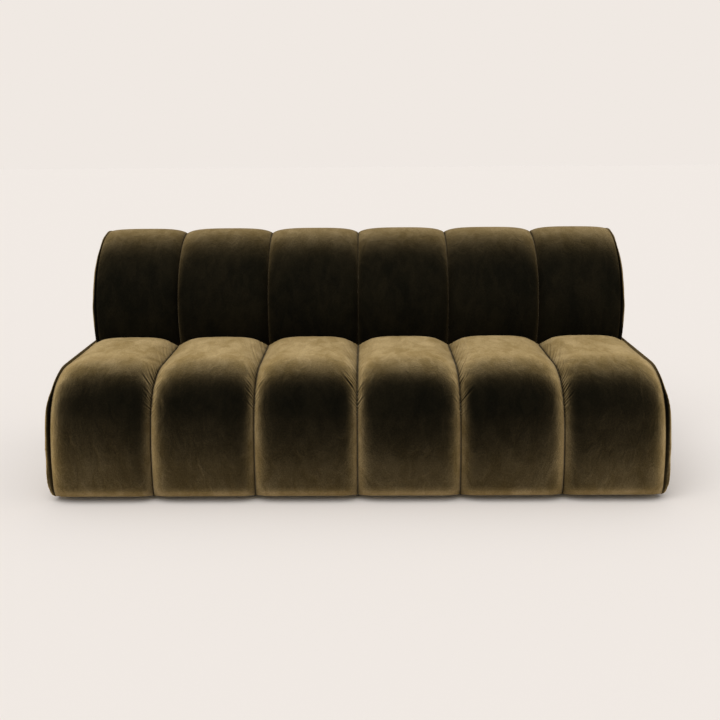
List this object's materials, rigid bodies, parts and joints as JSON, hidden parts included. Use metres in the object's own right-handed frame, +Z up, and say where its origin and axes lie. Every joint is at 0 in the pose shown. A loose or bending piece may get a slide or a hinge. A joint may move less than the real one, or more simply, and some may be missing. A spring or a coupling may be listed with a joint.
{
  "type": "armless sofa",
  "caption": "Low armless sofa with channelled velvet seat and back, a rounded front that runs down to the floor and a back that leans and rolls over at the top.",
  "frame": {"origin": "on the floor, under the middle of the whole sofa", "axes": "+X to the sitter-facing viewer's right along the length, the seat faces -Y, +Z up"},
  "size_m": [2.09, 0.9602, 0.835],
  "materials": {
    "velvet": "dark olive velvet with a soft golden sheen",
    "foam": "open-cell upholstery foam",
    "plywood": "bare plywood",
    "timber": "bare sawn softwood",
    "webbing": "woven elastic webbing",
    "liner_board": "thin hardboard",
    "dust_cloth": "thin non-woven cloth",
    "glide_plastic": "moulded matt plastic",
    "bolt_steel": "zinc-plated steel"
  },
  "bodies": {
    "root": {"seat_channel_1": "velvet", "back_channel_1": "velvet", "seat_channel_2": "velvet", "back_channel_2": "velvet", "seat_channel_3": "velvet", "back_channel_3": "velvet", "seat_channel_4": "velvet", "back_channel_4": "velvet", "seat_channel_5": "velvet", "back_channel_5": "velvet", "seat_channel_6": "velvet", "back_channel_6": "velvet", "seat_end_pad_left": "velvet", "back_end_pad_left": "velvet", "seat_end_board_left": "plywood", "back_end_board_left": "plywood", "seat_end_batten_left": "timber", "base_cross_rail_left": "plywood", "back_rib_left": "plywood", "seat_end_pad_right": "velvet", "back_end_pad_right": "velvet", "seat_end_board_right": "plywood", "back_end_board_right": "plywood", "seat_end_batten_right": "timber", "base_cross_rail_right": "plywood", "back_rib_right": "plywood", "back_rib_centre": "plywood", "base_front_board": "plywood", "base_rear_rail": "plywood", "seat_rear_rail": "plywood", "seat_web_batten": "timber", "rear_deck": "plywood", "deck_posts": "timber", "corner_blocks": "timber", "centre_blocks": "timber", "back_bottom_rail": "timber", "back_rear_rail": "timber", "back_lumbar_rail": "timber", "back_top_rail": "timber", "front_foam": "foam", "seat_foam": "foam", "back_foam": "foam", "seat_webbing_long": "webbing", "seat_webbing_cross": "webbing", "back_webbing": "webbing", "back_liner": "liner_board", "back_outer_cover": "velvet", "base_rear_cover": "velvet", "dust_cover": "dust_cloth", "glides": "glide_plastic", "back_bolts": "bolt_steel", "bolt_nuts": "bolt_steel"}
  },
  "joints": []
}
